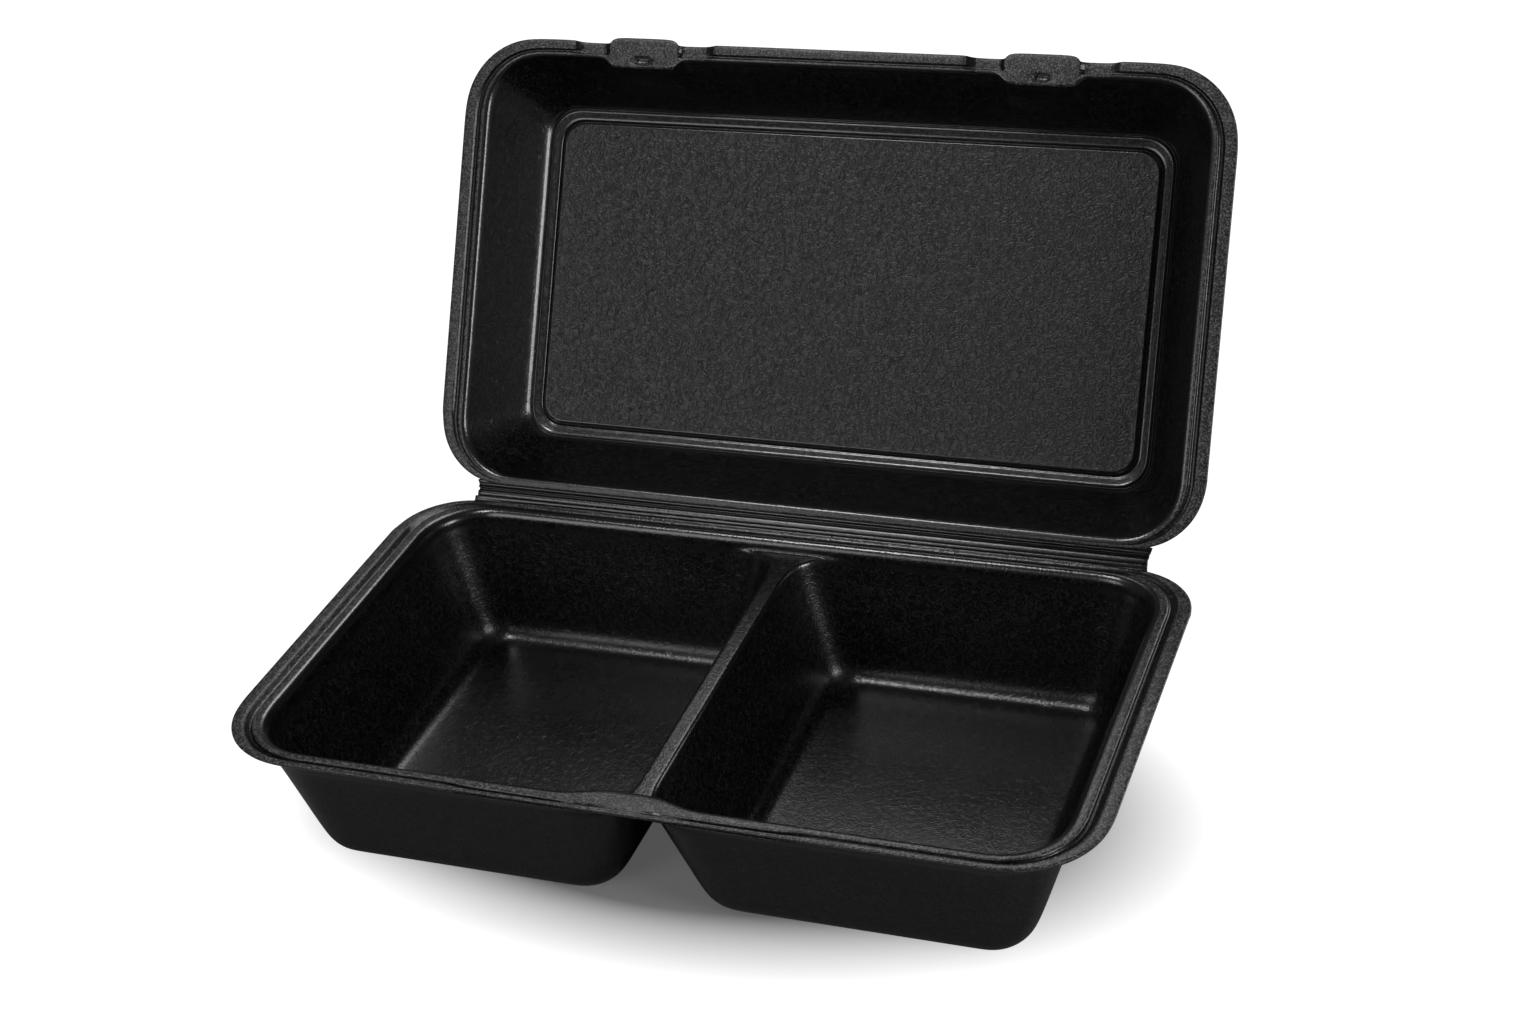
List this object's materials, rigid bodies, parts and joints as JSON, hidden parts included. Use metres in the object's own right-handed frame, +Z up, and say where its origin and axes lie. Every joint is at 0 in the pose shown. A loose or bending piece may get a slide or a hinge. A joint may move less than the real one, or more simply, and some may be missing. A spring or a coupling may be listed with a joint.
{
  "type": "foam clamshell container",
  "caption": "Black foam clamshell food container with a divided tray and a hinged lid with closing tabs, standing open.",
  "frame": {"origin": "on the ground, in the middle of the open container's footprint", "axes": "+X along the hinge to the right seen from the front, +Y from the front edge towards the hinge and lid, +Z up"},
  "size_m": [0.24, 0.2184, 0.1632],
  "materials": {
    "black_foam": "satin, with a fine pressed grain inside"
  },
  "bodies": {
    "base_tray": {"base_tray": "black_foam"},
    "lid": {"lid": "black_foam"}
  },
  "joints": [
    {"name": "lid_hinge", "type": "hinge", "parent": "base_tray", "child": "lid", "pos_m": [0, 0.03108, 0.04145], "axis": [1, 0, 0], "range_deg": [-61, 119]}
  ]
}
